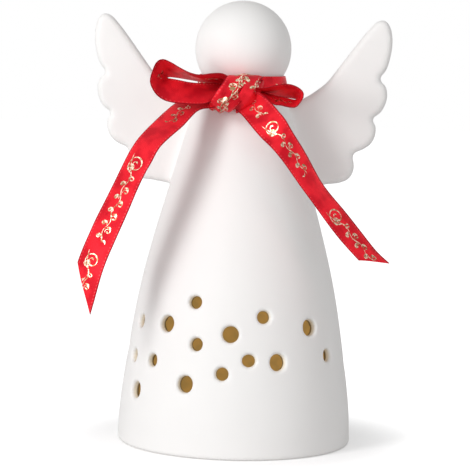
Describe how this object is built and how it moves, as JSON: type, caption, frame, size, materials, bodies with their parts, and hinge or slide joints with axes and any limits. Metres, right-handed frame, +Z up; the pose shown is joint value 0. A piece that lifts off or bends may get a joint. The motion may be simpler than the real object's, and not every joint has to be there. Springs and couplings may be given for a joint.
{
  "type": "ceramic angel candle holder",
  "caption": "Hollow white ceramic angel figure with wings and a pierced dress that stands over a tealight, with a red satin ribbon bow at its neck.",
  "frame": {"origin": "on the figure's axis, on the plane that its foot ring stands on", "axes": "+Z up the figure's axis, -Y the front where the bow is tied, +X along the wings to the viewer's right"},
  "size_m": [0.123, 0.0973, 0.18],
  "materials": {
    "matt_porcelain": "unglazed matt white bisque",
    "red_satin": "red satin ribbon with gold foil"
  },
  "bodies": {
    "root": {"angel_shell": "matt_porcelain", "ribbon_bow": "red_satin"}
  },
  "joints": []
}
